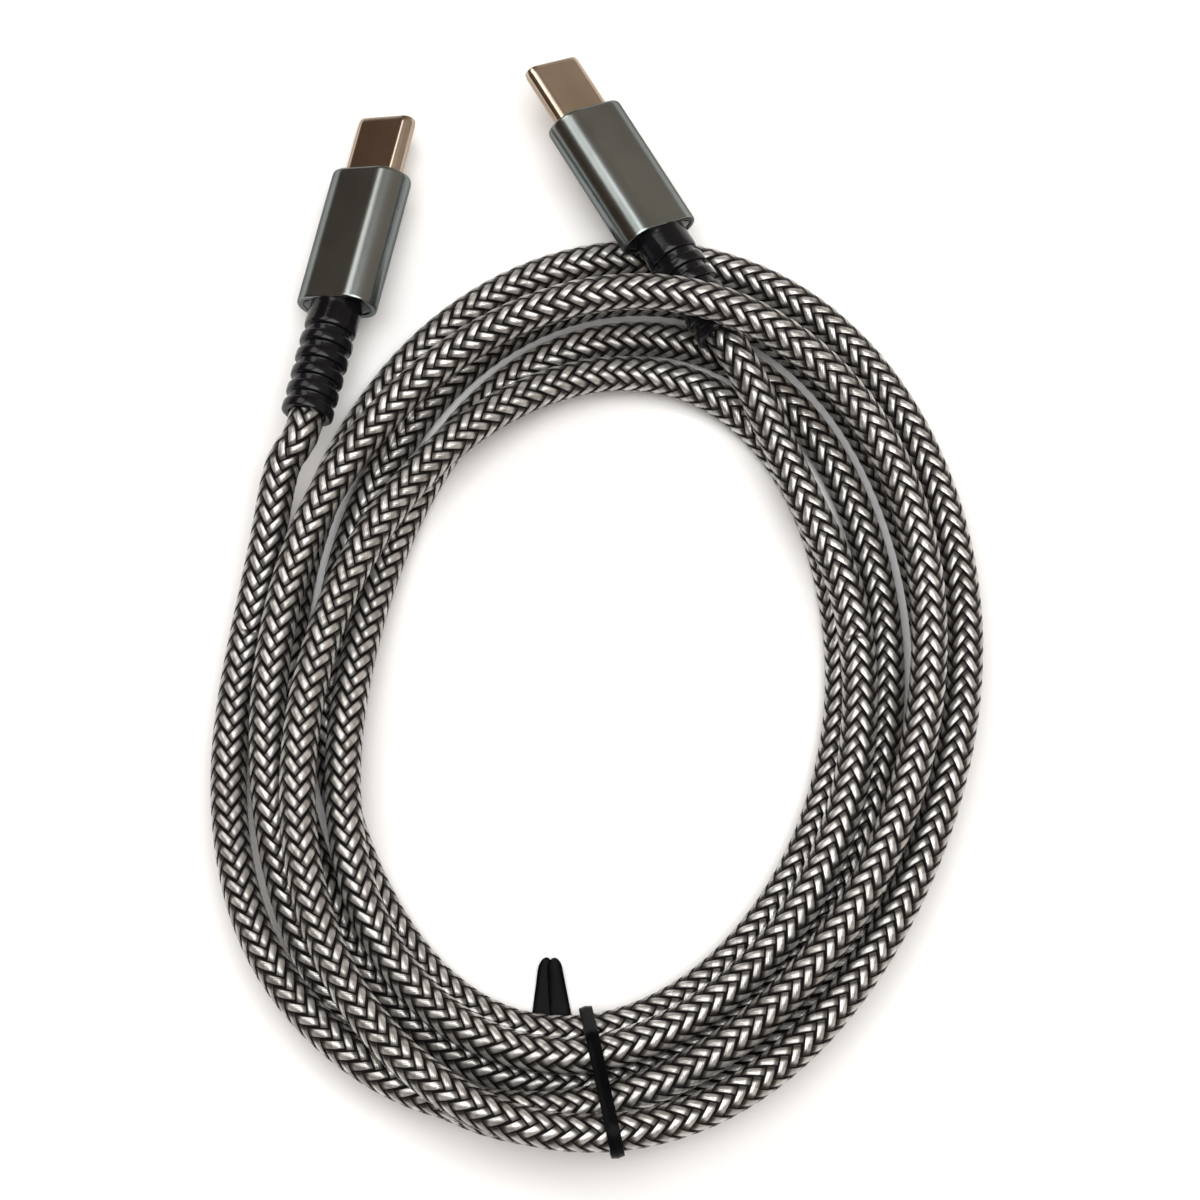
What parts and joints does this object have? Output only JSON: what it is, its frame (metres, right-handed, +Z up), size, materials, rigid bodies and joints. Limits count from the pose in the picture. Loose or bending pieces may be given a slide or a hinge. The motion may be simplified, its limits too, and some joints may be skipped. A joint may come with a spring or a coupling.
{
  "type": "braided charging cable",
  "caption": "Braided charging cable wound into a flat oval coil, held by a black twist tie, with a metal-bodied reversible plug and ribbed strain relief at each end.",
  "frame": {"origin": "middle of the coil's eye, on the surface that the coil lies on", "axes": "+X across the coil to the right in the picture, +Y along its length towards the plugs, +Z up from the surface"},
  "size_m": [0.0932, 0.138, 0.0174],
  "materials": {
    "cord_braid": "silver and black braid",
    "tie_plastic": "gloss",
    "tie_wire": "drawn wire",
    "housing_metal": "satin anodised",
    "shell_metal": "bright nickel",
    "boot_rubber": "semi gloss",
    "insulator_plastic": "matte",
    "contact_gold": "gold plated",
    "board_laminate": "solder mask",
    "chip_plastic": "matte",
    "capacitor_ceramic": "matte",
    "wire_plastic": "coloured insulation",
    "core_plastic": "matte"
  },
  "bodies": {
    "coil": {"cord_coil": "cord_braid", "cord_lead_a": "cord_braid", "cord_lead_b": "cord_braid", "tie_strap": "tie_plastic", "tie_wire_core": "tie_wire", "tie_tail": "tie_plastic"},
    "plug_a": {"housing_a": "housing_metal", "shell_a": "shell_metal", "boot_a": "boot_rubber", "insulator_a": "insulator_plastic", "contacts_upper_a": "contact_gold", "contacts_lower_a": "contact_gold", "latch_arms_a": "shell_metal", "rails_a": "insulator_plastic", "board_a": "board_laminate", "chip_a": "chip_plastic", "capacitors_a": "capacitor_ceramic", "wires_a": "wire_plastic", "core_jacket_a": "core_plastic", "ferrule_a": "shell_metal"},
    "plug_b": {"housing_b": "housing_metal", "shell_b": "shell_metal", "boot_b": "boot_rubber", "insulator_b": "insulator_plastic", "contacts_upper_b": "contact_gold", "contacts_lower_b": "contact_gold", "latch_arms_b": "shell_metal", "rails_b": "insulator_plastic", "board_b": "board_laminate", "chip_b": "chip_plastic", "capacitors_b": "capacitor_ceramic", "wires_b": "wire_plastic", "core_jacket_b": "core_plastic", "ferrule_b": "shell_metal"}
  },
  "joints": [
    {"name": "plug_a_swing", "type": "hinge", "parent": "coil", "child": "plug_a", "pos_m": [-0.0373, 0.0303, 0.0077], "axis": [0, 0, 1], "range_deg": [-12, 40], "stiffness_Nm_per_rad": 0.01, "deforming": ["cord_lead_a"]},
    {"name": "plug_b_swing", "type": "hinge", "parent": "coil", "child": "plug_b", "pos_m": [0.0184, 0.0395, 0.0088], "axis": [0, 0, 1], "range_deg": [-25, 5], "stiffness_Nm_per_rad": 0.01, "deforming": ["cord_lead_b"]}
  ]
}
